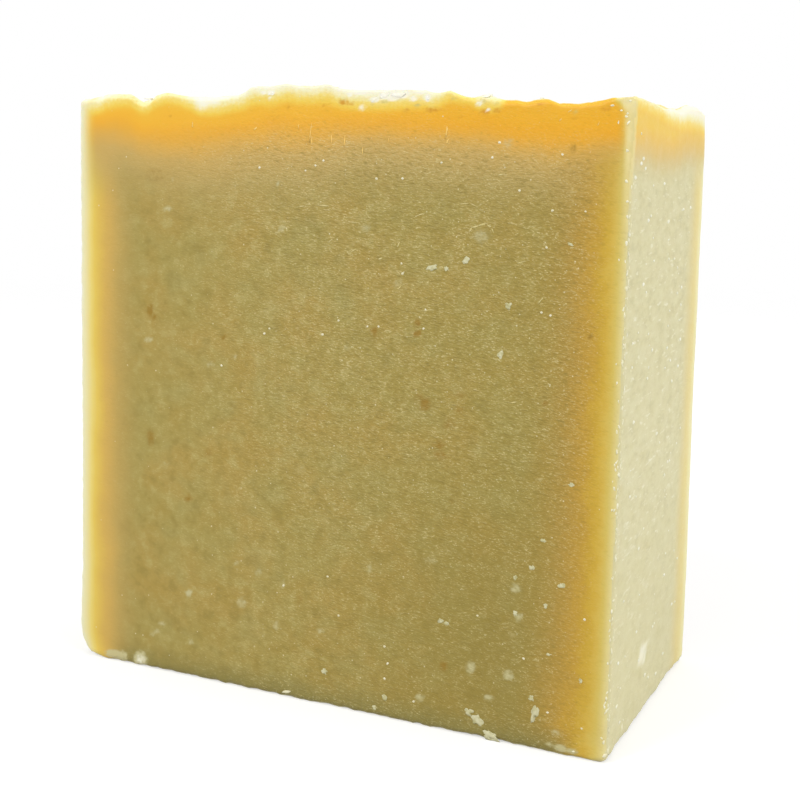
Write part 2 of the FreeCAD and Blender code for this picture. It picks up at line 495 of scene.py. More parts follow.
@dataclass(frozen=True)
class BarFinish:
    """The bar's own finish. Depths are in millimetres from the face they name.

    The nick is the sliver shaved off the front right corner: its width on the mould's face at the mean top, and
    how much narrower it gets for each millimetre below the top.
    """

    left_rim: Stops = ((0.0, (242, 240, 212)), (0.5, (238, 233, 190)), (0.95, (237, 224, 162)),
                       (1.5, (235, 213, 119)), (1.95, (230, 200, 93)), (2.5, (222, 188, 87)),
                       (3.2, (213, 176, 88)), (4.0, (204, 169, 89)), (5.0, (191, 162, 88)),
                       (6.2, (181, 156, 86)), (8.5, (168, 150, 80)))
    right_rim: Stops = ((0.0, (224, 214, 160)), (0.35, (222, 206, 134)), (0.8, (217, 194, 101)),
                        (1.2, (215, 184, 82)), (1.7, (209, 173, 64)), (2.3, (202, 164, 57)),
                        (3.1, (195, 156, 60)), (4.2, (185, 149, 62)), (5.5, (177, 145, 65)),
                        (8.0, (167, 141, 62)), (10.0, (166, 145, 66)))
    top_rim: Stops = ((0.0, (242, 192, 60)), (1.2, (243, 188, 56)), (2.0, (242, 183, 52)), (2.6, (238, 177, 54)),
                      (3.3, (230, 174, 64)), (4.2, (217, 172, 82)), (5.2, (203, 169, 95)),
                      (7.0, (191, 165, 99)), (9.0, (180, 158, 91)), (12.5, (170, 151, 83)))
    skin_top: Stops = ((0.0, (239, 200, 76)), (2.2, (238, 198, 78)), (3.1, (233, 192, 90)),
                       (4.0, (224, 190, 108)), (5.0, (215, 190, 122)), (6.2, (211, 196, 138)),
                       (8.0, (217, 211, 166)))
    ash_edge: Stops = ((0.0, (253, 249, 226)), (0.35, (250, 244, 200)), (0.7, (247, 232, 160)),
                       (1.0, (246, 219, 115)), (1.4, (244, 208, 84)), (2.0, (243, 192, 60)))
    skin_back: Stops = ((0.0, (246, 239, 200)), (0.6, (242, 233, 182)), (1.3, (238, 228, 170)),
                        (2.2, (231, 215, 146)), (3.2, (226, 208, 138)), (4.5, (221, 204, 141)),
                        (6.5, (215, 204, 149)), (9.0, (212, 204, 156)))
    core: Colour = (168, 151, 81)
    # Darker olive: mottle in the core, the darker lower right, and painted shade in the grooves of the grain.
    core_dark_and_shade: Colour = (146, 129, 60)
    core_light: Colour = (185, 170, 106)
    core_tan: Colour = (175, 150, 77)
    core_green: Colour = (168, 158, 96)
    core_brown: Colour = (166, 140, 62)
    core_right: Colour = (152, 134, 52)
    gold_right: Colour = (238, 172, 28)
    # Pale flecks: partly the soap's own colour, partly a painted highlight on the dragged ridges.
    fleck_and_highlight: Colour = (219, 205, 148)
    speck: Colour = (232, 226, 186)
    haze: Colour = (201, 194, 146)
    brown: Colour = (154, 121, 42)
    shade: Colour = (206, 192, 118)
    # Deeper orange of the ash's creases: partly their own colour, partly painted shade.
    crease_tint_and_shade: Colour = (212, 148, 40)
    shaved: Colour = (233, 218, 154)
    flake: Colour = (240, 236, 208)
    # Painted shade under the flake on the right face.
    painted_dent_shade: Colour = (188, 176, 116)
    # Painted shade in the groove along the outer edge of the shaved corner.
    groove_shade: Colour = (208, 188, 112)
    # Painted shade: the darker band along the foot of the cut faces.
    painted_foot_shade: Colour = (136, 126, 68)
    skin: Colour = (212, 204, 156)
    skin_dark: Colour = (199, 191, 142)
    skin_light: Colour = (222, 216, 174)
    crust: Colour = (252, 249, 230)
    crust_gold: Colour = (247, 226, 150)
    skin_pale: Colour = (236, 232, 204)
    skin_cut: Colour = (216, 207, 158)
    foot: Colour = (188, 180, 128)
    nick_width: float = 1.1
    nick_slope: float = 0.122

    def paint_cut(self) -> bpy.types.Material:
        """The material of the two cut faces: olive core, rims, grain and stains.

        Returns:
            The material.
        """
        kit = NodeKit("cut_soap")
        ground = Ground(kit)
        colour = self.cut_colour(ground)
        # The crease marks are partly painted shade; the shade marks are painted shade.
        for name, over in (("brown", self.brown), ("pale", self.haze), ("shade", self.shade),
                           ("crease_tint_and_shade", self.crease_tint_and_shade), ("white", self.crust)):
            mark = kit.attribute(name)
            mark = kit.rise(mark * (1.0 + ground.edge_grain * 1.8), 0.04, 0.6)
            colour = kit.mix(mark * 0.85, colour, over)
        strip = kit.fall(ground.from_right + ground.edge_grain * 0.4, 0.2, 0.85) * ground.near_nick
        colour = kit.mix(strip * (ground.edge_grain * 1.2 + 0.75), colour, self.shaved)
        # Painted shade: a thin darker line in the groove along the corner, next to the shaved strip.
        groove_shade = kit.fall(ground.from_right + ground.edge_grain * 0.2, 0.15, 0.5) * ground.near_nick
        groove_shade = groove_shade * kit.rise(ground.below_top, 0.3, 2.0)
        colour = kit.mix(groove_shade * 0.4, colour, self.groove_shade)
        colour = kit.mix(kit.fall(ground.height, 0.02, 0.2), colour, self.foot)
        level = (ground.torn * 0.10 + ground.fine_torn * 0.05) * ground.strong
        roughness = 0.44 + (ground.middle - 0.5) * 0.3
        return kit.finish(colour, roughness, self.bumped(level), Wax())

    def paint_mould(self) -> bpy.types.Material:
        """The material of the faces that lay against the mould, and of the foot.

        Returns:
            The material.
        """
        kit = NodeKit("moulded_soap")
        ground = Ground(kit)
        colour = self.skin_colour(ground)
        past_nick = ground.from_front + ground.below_top * self.nick_slope - self.nick_width
        strip = kit.fall(past_nick + ground.edge_grain * 0.5, 0.0, 0.8) * ground.near_nick
        colour = kit.mix(strip * 0.8, colour, self.shaved)
        colour = kit.mix(kit.attribute("pale") * kit.rise(ground.height, 4.0, 6.0), colour, self.flake)
        # Painted shade under the flake on the right face, where the shade marks reach the mould's finish.
        colour = kit.mix(kit.attribute("shade") * kit.rise(ground.below_top, 4.0, 6.0), colour, self.painted_dent_shade)
        on_foot = kit.fall(ground.height, 0.02, 0.25) * kit.rise(ground.from_cut, 0.2, 0.8)
        colour = kit.mix(on_foot, colour, self.foot)
        laid = kit.squeeze(ground.place, 0.0, (1.0, 1.1, 0.6))
        colour = kit.mix(kit.dots(laid, 1.15, 0.16, 0.11) * 0.6, colour, self.crust)
        level = kit.cloud(kit.squeeze(ground.place, 0.0, (1.0, 1.7, 0.6)), 1.0, 3.0, 0.7) * 0.09
        return kit.finish(colour, 0.46 + (ground.middle - 0.5) * 0.3, self.bumped(level), Wax())

    def paint_top(self) -> bpy.types.Material:
        """The material of the poured top: white ash over gold, which shows at the edges.

        Returns:
            The material.
        """
        kit = NodeKit("poured_soap")
        ground = Ground(kit)
        rim = self.under_ash(ground, kit.ramp(ground.below_top, self.top_rim))
        patches = kit.cloud(ground.place, 0.35, 5.0, 0.65)
        crust = kit.mix(kit.rise(patches, 0.42, 0.6), self.crust_gold, self.crust)
        colour = kit.mix(kit.attribute("on_top"), rim, crust)
        level = kit.cloud(ground.place, 1.6, 5.0, 0.65) * 0.25
        return kit.finish(colour, 0.62 + (ground.middle - 0.5) * 0.3, self.bumped(level), Wax())

    @staticmethod
    def bumped(level: Value) -> bpy.types.NodeSocket:
        """The normal of a face with a fine relief, which is in millimetres."""
        return level.kit.add("ShaderNodeBump", {}, {"Strength": 1.0, "Distance": MM, "Height": level}).outputs[0]

    def cut_colour(self, ground: "Ground") -> bpy.types.NodeSocket:
        """A cut face's colours: the core, then the rims at the sides and the top, a painted shade along the foot,
        and the grain.

        Args:
            ground: The places, depths and noise that they are worked out from.

        Returns:
            The colour's socket.
        """
        kit, wander = ground.kit, ground.wander
        core = kit.mix(kit.rise(ground.broad, 0.35, 0.7), self.core, self.core_tan)
        core = kit.mix(kit.rise(ground.tint, 0.5, 0.75) * 0.35, core, self.core_green)
        core = kit.mix(kit.fall(ground.tint, 0.25, 0.5) * 0.35, core, self.core_brown)
        core = kit.mix(kit.rise(ground.middle, 0.5, 0.76) * 0.6, core, self.core_light)
        core = kit.mix(kit.fall(ground.middle, 0.26, 0.5) * 0.5, core, self.core_dark_and_shade)
        rightward = kit.rise(ground.across, -4.0, 20.0)
        core = kit.mix(rightward * 0.25, core, self.core_right)
        low_right = rightward * kit.fall(ground.height, 8.0, 34.0)
        core = kit.mix(low_right * 0.5, core, self.core_dark_and_shade)
        from_left, from_right = ground.from_left, ground.from_right
        left = kit.ramp(from_left + wander * kit.rise(from_left, 0.5, 3.0), self.left_rim)
        ragged = wander + (ground.middle - 0.5) * 2.0
        near = from_right * (kit.rise(ground.height, 2.0, 16.0) * 0.2 + 0.8)
        right = kit.ramp(near + ragged * kit.rise(from_right, 0.4, 2.6), self.right_rim)
        cut = kit.mix(kit.rise(from_left + wander, 3.5, 8.5), left, core)
        cut = kit.mix(kit.fall(from_right + wander, 3.5, 10.0), cut, right)
        deep = kit.rise(ground.across, -25.0, -18.0) * kit.fall(ground.across, -3.0, 4.0)
        sunk = ground.below_top + wander * kit.rise(ground.below_top, 0.6, 3.0)
        sunk = sunk * (1.0 - deep * 0.18)
        top = kit.ramp(sunk, self.top_rim)
        rich = rightward * kit.fall(sunk, 2.6, 4.6)
        top = kit.mix(rich * 0.5, top, self.gold_right)
        top = self.under_ash(ground, top)
        reach = kit.rise(from_left, 0.3, 2.4) * kit.rise(from_right, 0.2, 1.5)
        reach = reach * kit.fall(sunk, 3.6, 12.0)
        reach = reach * (1.0 - kit.fall(from_right, 3.0, 9.0) * kit.rise(sunk, 3.2, 6.0) * 0.7)
        cut = kit.mix(reach, cut, top)
        # Painted shade: the lowest few millimetres of a cut face darkened towards the foot.
        low = kit.fall(ground.height + ground.edge_grain * 0.6 + wander * 0.5, 0.2, 3.0) * 0.9
        low = low * kit.rise(from_right, 1.8, 5.5) * kit.rise(from_left, 2.5, 6.5)
        cut = kit.mix(low, cut, self.painted_foot_shade)
        return self.grain(ground, cut)

    def grain(self, ground: "Ground", colour: bpy.types.NodeSocket) -> bpy.types.NodeSocket:
        """Dragged flecks with painted highlights and shade, pale specks and fine mottle on a cut face.

        Args:
            ground: The places, depths and noise that they are worked out from.
            colour: The colour under them.

        Returns:
            The colour's socket.
        """
        kit = ground.kit
        strong = ground.strong * (kit.rise(ground.middle, 0.34, 0.62) * 0.7 + 0.5)
        thread = kit.fall(abs(ground.torn - 0.52), 0.008, 0.05)
        thread = thread * kit.rise(ground.fine_torn, 0.49, 0.63) * 0.6
        # The pale flecks are partly pale soap and partly a painted highlight on the dragged ridges; the dark ones
        # are partly painted shade in the grooves between them.
        pale = kit.rise(ground.torn, 0.56, 0.8) * 0.35 + kit.rise(ground.fine_torn, 0.6, 0.8) * 0.35 + thread
        dark_and_shade = kit.fall(ground.torn, 0.24, 0.47) * 0.6 + kit.fall(ground.fine_torn, 0.26, 0.46) * 0.3
        colour = kit.mix(pale * strong, colour, self.fleck_and_highlight)
        colour = kit.mix(dark_and_shade * ground.strong, colour, self.core_dark_and_shade)
        colour = kit.mix(kit.dots(ground.place, 1.9, 0.16, 0.15) * ground.strong * 0.8, colour, self.speck)
        return kit.mix(kit.dots(ground.place, 1.15, 0.16, 0.11) * 0.8, colour, self.speck)

    def skin_colour(self, ground: "Ground") -> bpy.types.NodeSocket:
        """The sage-green skin that lay against the mould: golden under the top, pale along its back edge.

        Args:
            ground: The places, depths and noise that they are worked out from.

        Returns:
            The colour's socket.
        """
        kit = ground.kit
        cloudy = kit.cloud(kit.squeeze(ground.place, 0.0, (1.0, 2.2, 0.9)), 1.0, 4.0, 0.65)
        upper = kit.rise(ground.height, 4.0, 28.0) * 0.5 + 0.5
        colour = kit.mix(kit.rise(cloudy, 0.4, 0.7) * upper * 0.55, self.skin, self.skin_light)
        colour = kit.mix(kit.fall(cloudy, 0.3, 0.5) * upper * 0.6, colour, self.skin_dark)
        wide = kit.squeeze(ground.place, 0.0, (1.0, 1.6, 0.42))
        smears = kit.rise(kit.cloud(wide, 1.0, 3.0, 0.6), 0.57, 0.72)
        colour = kit.mix(smears * (upper * 0.9 - 0.2), colour, self.skin_pale)
        sunk = ground.below_top + ground.wander * 0.6
        top = self.under_ash(ground, kit.ramp(sunk, self.skin_top))
        colour = kit.mix(kit.fall(sunk, 4.0, 8.0), colour, top)
        from_back = kit.attribute("from_back")
        back = kit.ramp(from_back + ground.wander * 0.5, self.skin_back)
        on_back = kit.fall(from_back + ground.wander, 2.0, 8.0) * (kit.rise(sunk, 3.5, 9.0) * 0.85 + 0.15)
        on_back = kit.higher(on_back, kit.fall(from_back, 0.3, 1.6) * 0.8)
        colour = kit.mix(on_back * kit.rise(sunk, 0.0, 0.8), colour, back)
        by_knife = kit.fall(ground.from_front + ground.edge_grain * 0.4, 0.2, 1.2)
        return kit.mix(by_knife * kit.rise(sunk, 3.0, 7.0) * 0.7, colour, self.skin_cut)

    def under_ash(self, ground: "Ground", colour: bpy.types.NodeSocket) -> bpy.types.NodeSocket:
        """The top edge's ash over a colour: white where it is thick, pale yellow as it runs out over the gold.

        Args:
            ground: The places, depths and noise that it is worked out from.
            colour: The colour under it.

        Returns:
            The colour's socket.
        """
        share = ground.kit.fall(ground.bare, 0.7, 1.5)
        ash = ground.kit.ramp(ground.bare + 0.6 + ground.edge_grain * 0.55, self.ash_edge)
        return ground.kit.mix(share, colour, ash)


class Ground:
    """What the bar's colours are worked out from: places, depths and the noise that they share.

    Places and depths are in millimetres, and so is bare: how far a place is below the ash. The noises run from 0
    to 1, but wander and edge_grain lie about 0 and move the edges of other things. Strong is the grain's strength.
    """

    def __init__(self, kit: NodeKit) -> None:
        """Adds the nodes that the rest of the finish reads.

        Args:
            kit: The material's nodes.
        """
        self.kit = kit
        self.place = kit.millimetres()
        parts = kit.add("ShaderNodeSeparateXYZ", {}, {0: self.place})
        self.across = Value(kit, parts.outputs[0])
        self.height = Value(kit, parts.outputs[2])
        self.below_top = kit.attribute("below_top")
        self.from_left = kit.attribute("from_left")
        self.from_right = kit.attribute("from_right")
        self.from_side = kit.lower(self.from_left, self.from_right)
        self.from_front = kit.attribute("from_front")
        self.from_cut = kit.lower(self.from_front, kit.attribute("from_back"))
        self.bare = self.below_top - kit.attribute("ash")
        calm = kit.rise(self.below_top, 2.0, 7.0) * kit.rise(self.from_side, 1.0, 5.0) * 0.8 + 0.2
        rightward = kit.rise(self.across, -26.0, 3.0) * 0.84 + 0.16
        upward = kit.rise(self.height, 8.0, 36.0) * 0.28 + 0.72
        self.strong = calm * (rightward * upward)
        self.near_nick = kit.fall(self.below_top, 5.0, 11.0)
        self.broad = kit.cloud(self.place, 0.15, 3.0, 0.55)
        self.wander = (self.broad - 0.5) * 2.2
        self.edge_grain = kit.cloud(self.place, 2.6, 1.0) - 0.5
        self.middle = kit.cloud(self.place, 0.7, 2.0, 0.65)
        self.tint = kit.cloud(self.place, 0.37, 1.0, 0.6)
        lie = kit.squeeze(self.place, -7 * DEGREE, (0.66, 0.5, 0.25))
        self.torn = kit.cloud(lie, 1.0, 2.0, 0.6)
        self.fine_torn = kit.cloud(lie, 2.3, 1.0, 0.6)


@dataclass(frozen=True)
class GrainFinish:
    """The finish of the small grains, flakes and clumps that sit in the soap."""

    name: str
    pale: Colour
    deep: Colour
    roughness: float = 0.55

    def paint(self) -> bpy.types.Material:
        """The grains' material: mottled between two colours.

        Returns:
            The material.
        """
        kit = NodeKit(self.name)
        place = kit.millimetres()
        cloudy = kit.cloud(place, 1.7, 4.0, 0.6)
        colour = kit.mix(kit.rise(cloudy, 0.35, 0.65), self.deep, self.pale)
        bump = kit.add("ShaderNodeBump", {}, {"Strength": 0.5, "Distance": 0.05 * MM,
                                              "Height": kit.cloud(place, 5.0, 3.0)})
        return kit.finish(colour, self.roughness + (cloudy - 0.5) * 0.2, bump.outputs[0], Wax(glow=0.0))


def show(name: str, mesh: bpy.types.Mesh, material: bpy.types.Material) -> bpy.types.Object:
    """Puts a finished mesh in the scene as a piece of the bar.

    Args:
        name: The piece's name.
        mesh: Its mesh, in metres.
        material: Its finish.

    Returns:
        The piece.
    """
    piece = bpy.data.objects.new(name, mesh)
    bpy.context.scene.collection.objects.link(piece)
    mesh.materials.append(material)
    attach(piece, BODY)
    LOG.info("%s: %d faces", name, len(mesh.polygons))
    return piece


def spread_places(length: float, fine_start: float, fine_end: float, coarse: float, zone: float) -> np.ndarray:
    """Places along a line from 0 to 1, closer together near both ends.

    Args:
        length: The line's length in millimetres.
        fine_start: The step at its start.
        fine_end: The step at its end.
        coarse: The step in its middle.
        zone: How far the fine steps reach in from an end.

    Returns:
        The places, as shares of the length.
    """
    along = np.linspace(0.0, length, 4000)
    step = coarse - (coarse - fine_start) * np.exp(-(along / zone) ** 2)
    step -= (coarse - fine_end) * np.exp(-((length - along) / zone) ** 2)
    count = np.concatenate(([0.0], np.cumsum(np.diff(along) / step[1:])))
    even = np.linspace(0.0, count[-1], int(round(count[-1])) + 1)
    return np.interp(even, count, along) / length


@dataclass
class BarSurface:
    """The outside of the bar, with the relief that the pour, the mould and the knife left. In millimetres.

    The first sizes are the grid's: its steps near the edges and between them, and how far in and out its rays
    start. The edges' places are where the front and right top edges lie, and edge_row is the photograph's row
    near them. The crests' depth and widths are how far an edge's outline is carried into the bar, and the reliefs
    are how high each kind of roughness is.
    """

    fine: float = 0.2
    top_fine: float = 0.18
    along_step: float = 0.36
    coarse: float = 0.5
    zone: float = 3.0
    inset: float = 4.0
    overshoot: float = 4.0
    edge_front: float = -13.5
    edge_right: float = 28.9
    edge_row: float = 100.0
    crest_depth: float = 7.0
    front_crest_width: float = 5.0
    right_crest_width: float = 2.5
    level_rounds: int = 180
    mark_reach: float = 1.5
    swell_relief: float = 0.05
    cut_relief: float = 0.02
    mould_relief: float = 0.02
    corner_relief: float = 0.08
    foot_relief: float = 0.12
    crust_relief: float = 0.3
    edge_relief: float = 0.05
    points: np.ndarray = field(init=False)
    faces: list = field(init=False)
    kinds: list = field(init=False)
    depths: dict = field(init=False)
    index: np.ndarray = field(init=False)
    shape: list = field(init=False)
    number: np.ndarray = field(init=False)

    def build(self, view: Viewpoint) -> bpy.types.Object:
        """Makes the surface, gives it its relief and finish, and puts it in the bar's place.

        Args:
            view: Where the marks of the photograph are seen from.

        Returns:
            The piece.
        """
        self.lay_grid()
        self.kinds = self.finish_numbers()
        self.add_relief(view)
        self.depths["ash"] = self.ash_thickness(view)
        for name, kind in (("brown", BROWN_MARKS), ("pale", PALE_MARKS), ("shade", SHADE_MARKS),
                           ("crease_tint_and_shade", CREASE_MARKS), ("white", WHITE_MARKS)):
            self.depths[name] = self.spread_marks(view, kind)
        mesh = bpy.data.meshes.new("bar_surface")
        mesh.from_pydata(self.points * MM, [], self.faces)
        mesh.polygons.foreach_set("use_smooth", [True] * len(mesh.polygons))
        for name, values in self.depths.items():
            kept = mesh.attributes.new(name, "FLOAT", "POINT")
            kept.data.foreach_set("value", values.astype(np.float32))
        mesh.update()
        finish = BarFinish()
        piece = show("bar_surface", mesh, finish.paint_mould())
        mesh.materials.append(finish.paint_cut())
        mesh.materials.append(finish.paint_top())
        mesh.polygons.foreach_set("material_index", self.kinds)
        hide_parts(BAR_NODE)
        return piece

    def spread_marks(self, view: Viewpoint, kind: tuple[Mark, ...]) -> np.ndarray:
        """How strongly each point is marked by stains or pale places that are known by their pixels.

        Args:
            view: Where the marks are seen from.
            kind: The marks of one kind.

        Returns:
            From 0 to the strongest mark's strength, for each point.
        """
        tree = BVHTree.FromPolygons(self.points.tolist(), self.faces)
        total = np.zeros(len(self.points))
        for mark in kind:
            hit = tree.ray_cast(Vector(view.station), view.sight(mark.pixel))[0]
            if hit is None:
                continue
            away = self.points - np.array(hit)
            share = np.linalg.norm(away / np.array((mark.width, self.mark_reach, mark.height)), axis=1)
            total = np.maximum(total, ease(share, 0.68, 0.1) * mark.strength)
        return total

    def lay_grid(self) -> None:
        """Lays a grid over the solid, from rays that run in through a box's surface to a smaller box."""
        low, high = [np.array(corner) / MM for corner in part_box(BAR_NODE)]
        spans = [spread_places(high[0] - low[0], self.fine, self.fine, self.along_step, self.zone),
                 spread_places(high[1] - low[1], self.fine, self.fine, self.coarse, self.zone),
                 spread_places(high[2] - low[2], self.fine, self.top_fine, self.coarse, self.zone)]
        shape = [len(span) for span in spans]
        number = -np.ones(shape, int)
        rim = np.ones(shape, bool)
        rim[1:-1, 1:-1, 1:-1] = False
        number[rim] = np.arange(rim.sum())
        index = np.argwhere(rim)
        share = np.column_stack([span[index[:, axis]] for axis, span in enumerate(spans)])
        outer_low, outer_high = low - self.overshoot, high + self.overshoot
        inner_low, inner_high = low + self.inset, high - self.inset
        outside = outer_low + share * (outer_high - outer_low)
        inside = inner_low + share * (inner_high - inner_low)
        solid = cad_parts[BAR_NODE].data
        tree = BVHTree.FromPolygons([v.co / MM for v in solid.vertices], [p.vertices[:] for p in solid.polygons])
        hits = []
        for start, end in zip(outside, inside):
            hit = tree.ray_cast(Vector(start), Vector(end - start), RAY)[0]
            hits.append(hit if hit is not None else Vector((start + end) / 2.0))
        self.points = np.array(hits)
        self.index, self.shape, self.number = index, shape, number
        self.faces = self.grid_faces(number)

    @staticmethod
    def grid_faces(number: np.ndarray) -> list:
        """The four-sided faces of the grid's six sides, turned outwards.

        Args:
            number: Each grid place's point, or -1 inside the grid.

        Returns:
            Four point numbers for each face.
        """
        faces = []
        for axis in range(3):
            for end, flip in ((0, axis != 1), (-1, axis == 1)):
                sheet = np.take(number, end, axis=axis)
                corners = [sheet[:-1, :-1], sheet[1:, :-1], sheet[1:, 1:], sheet[:-1, 1:]]
                if flip:
                    corners.reverse()
                faces += np.stack([corner.ravel() for corner in corners], axis=1).tolist()
        return faces

    def face_directions(self) -> tuple[np.ndarray, np.ndarray]:
        """Where the faces look.

        Returns:
            Each face's four point numbers, and the direction in which it looks.
        """
        quads = np.array(self.faces)
        first = self.points[quads[:, 2]] - self.points[quads[:, 0]]
        second = self.points[quads[:, 3]] - self.points[quads[:, 1]]
        return quads, np.cross(first, second)

    def finish_numbers(self) -> list:
        """Which finish each face has, by where it looks.

        Returns:
            For each face, 0 for the mould's finish, 1 for the cut one or 2 for the poured one.
        """
        _, across = self.face_directions()
        lie = np.abs(across)
        cut = (lie[:, 1] > lie[:, 0] * 0.8) & (lie[:, 1] > lie[:, 2])
        top = (across[:, 2] > lie[:, 0]) & (across[:, 2] > lie[:, 1])
        return np.where(cut, 1, np.where(top, 2, 0)).tolist()

    def facing(self) -> np.ndarray:
        """The direction in which each point's surface looks.

        Returns:
            One direction of length 1 for each point.
        """
        quads, across = self.face_directions()
        total = np.zeros_like(self.points)
        for corner in range(4):
            np.add.at(total, quads[:, corner], across)
        return total / np.maximum(np.linalg.norm(total, axis=1, keepdims=True), 1e-9)

    def measure_depths(self) -> dict:
        """How far each point is from the top, the sides and the cut faces of the bar.

        Returns:
            One depth in millimetres for each point, by the name of what it is measured from.
        """
        last = [size - 1 for size in self.shape]
        middle = [size // 2 for size in self.shape]
        i, j, k = self.index.T
        x, y, z = self.points.T
        top = z[self.number[i, j, last[2]]]
        return {
            "below_top": np.maximum(top - z, 0.0),
            "from_left": np.maximum(x - x[self.number[0, middle[1], k]], 0.0),
            "from_right": np.maximum(x[self.number[last[0], middle[1], k]] - x, 0.0),
            "from_front": np.maximum(y - y[self.number[middle[0], 0, k]], 0.0),
            "from_back": np.maximum(y[self.number[middle[0], last[1], k]] - y, 0.0),
        }

    def add_relief(self, view: Viewpoint) -> None:
        """Moves the points along their normals by what each face and edge has of its own.

        Args:
            view: Where the photograph was taken from.
        """
        self.depths = self.measure_depths()
        points = self.points.copy()
        facing = self.facing()
        below = self.depths["below_top"]
        side = np.minimum(self.depths["from_left"], self.depths["from_right"])
        cut = np.minimum(self.depths["from_front"], self.depths["from_back"])
        height = points[:, 2]
        on_cut = ease(side, 0.2, 1.0)
        upright = ease(side, 1.0, 0.1) * ease(cut, 1.0, 0.1)
        crust = ease(below, 1.3, 0.1)
        foot = ease(height, 1.2, 0.3) * np.maximum(ease(side, 1.0, 0.2), ease(cut, 1.0, 0.2))
        move = self.swell_relief * rough(points, 9.0, 2)
        move += on_cut * self.cut_relief * rough(points, 1.6, 3, (2.4, 1.0, 1.0), 7.3)
        move += (1.0 - on_cut) * self.mould_relief * rough(points, 2.2, 3, shift=3.1)
        move += upright * self.corner_relief * rough(points, 0.9, 3, shift=11.7)
        move += foot * self.foot_relief * rough(points, 1.0, 3, shift=5.9)
        self.points = points + facing * move[:, None] + self.fuller_edges()
        self.raise_crests(view, below)
        inward = ease(np.minimum(side, cut), 0.3, 4.0)
        lift = self.crust_relief * inward * (rough(points, 3.0, 5, shift=2.2) - 0.7)
        lift += self.edge_relief * rough(points, 1.1, 4, shift=9.4)
        self.points[:, 2] += crust * lift
        self.points[:, 2] = np.maximum(self.points[:, 2], 0.0)
        self.depths["below_top"] = self.blended_depth(below)
        self.depths["on_top"] = ease(facing[:, 2], 0.8, 0.95) * ease(below, 0.5, 0.2)

    def fuller_edges(self) -> np.ndarray:
        """How far the upright edges and the foot stand out beyond the solid's rounded ones.

        Returns:
            The way that each point is moved, in millimetres.
        """
        height = self.points[:, 2]
        out = np.zeros_like(self.points)
        left = ease(self.depths["from_left"], 2.5, 0.3) * ease(self.depths["below_top"], 0.0, 4.0)
        out[:, 0] -= left * (0.08 + 0.22 * np.exp(-((height - 4.5) / 4.0) ** 2))
        right = ease(self.depths["from_right"], 2.5, 0.3) * ease(self.depths["from_back"], 5.0, 0.5)
        out[:, 0] += right * (0.12 + 0.12 * ease(height, 30.0, 16.0)) * ease(self.depths["below_top"], 0.0, 4.0)
        out[:, 1] -= 0.14 * ease(height, 1.8, 0.2) * ease(self.depths["from_front"], 1.8, 0.2)
        return out

    def raise_crests(self, view: Viewpoint, below: np.ndarray) -> None:
        """Gives the front and right top edges the outline that the photograph shows.

        Args:
            view: Where the photograph was taken from.
            below: How far each point of the solid is below its top.
        """
        i, j, _ = self.index.T
        top = self.number[:, :, self.shape[2] - 1]
        reach = ease(below, self.crest_depth, 0.0)
        edges = ((FRONT_CREST, top[:, 1], 0, i, self.depths["from_front"] / self.front_crest_width),
                 (RIGHT_CREST, top[self.shape[0] - 2], 1, j, self.depths["from_right"] / self.right_crest_width))
        for crest, edge, axis, along, away in edges:
            wanted = np.interp(self.points[edge, axis], *zip(*crest)) + MEAN_TOP
            missing = (wanted - self.points[edge, 2])[along]
            self.points[:, 2] += missing * reach * np.exp(-away ** 2)
        over = top[i, j]
        above = np.maximum(self.points[over, 2] - self.sight_limit(view)[over], 0.0)
        self.points[:, 2] -= above * reach

    def sight_limit(self, view: Viewpoint) -> np.ndarray:
        """How high each point may stand without showing over the front or the right top edge.

        Args:
            view: Where the photograph was taken from.

        Returns:
            The greatest height for each point, in millimetres.
        """
        reach = self.points - np.array(view.station)
        share = (self.edge_front - view.station[1]) / reach[:, 1]
        across = view.station[0] + reach[:, 0] * share
        crest = np.interp(across, *zip(*FRONT_CREST))
        share_right = (self.edge_right - view.station[0]) / reach[:, 0]
        along = view.station[1] + reach[:, 1] * share_right
        by_right = across > self.edge_right
        share = np.where(by_right, share_right, share)
        crest = np.where(by_right, np.interp(along, *zip(*RIGHT_CREST)), crest) + MEAN_TOP
        return view.station[2] + (crest - view.station[2]) / share

    def ash_thickness(self, view: Viewpoint) -> np.ndarray:
        """How thick the ash is: as photographed on the front and right faces, by chance elsewhere.

        Args:
            view: Where the photograph was taken from.

        Returns:
            The thickness at each point, in millimetres.
        """
        x, y, _ = self.points.T
        places = []
        for across, _ in FRONT_ASH:
            way = view.sight((across, self.edge_row))
            places.append(view.station[0] + way.x * (self.edge_front - view.station[1]) / way.y)
        seen = np.interp(x, places, [thick for _, thick in FRONT_ASH])
        seen_right = np.interp(y, *zip(*RIGHT_ASH))
        chance = 0.25 + 0.45 * rough(self.points * np.array([1, 1, 0]), 4.0, 2, shift=4.4)
        near_front = ease(self.depths["from_front"], 5.0, 1.5)
        near_right = ease(self.depths["from_right"], 0.9, 0.2)
        thick = chance + (seen - chance) * near_front
        return thick + (seen_right - thick) * near_right

    def blended_depth(self, smooth: np.ndarray) -> np.ndarray:
        """Depth below the top: from the rough edge itself close to it, and from its mean level deeper down.

        Args:
            smooth: The depth below the solid's own top.

        Returns:
            The depth of each point, in millimetres.
        """
        i, j, _ = self.index.T
        z = self.points[:, 2]
        tops = z[self.number[:, :, self.shape[2] - 1]]
        near = np.maximum(tops[i, j] - z, 0.0)
        level = tops
        for _ in range(self.level_rounds):
            wide = np.pad(level, 1, mode="edge")
            level = (wide[:-2, 1:-1] + wide[2:, 1:-1] + wide[1:-1, :-2] + wide[1:-1, 2:] + 4.0 * level) / 8.0
        depth = near + (smooth - near) * ease(smooth, 0.1, 1.4)
        return depth + (np.maximum(level[i, j] - z, 0.0) - depth) * ease(smooth, 1.2, 4.0)


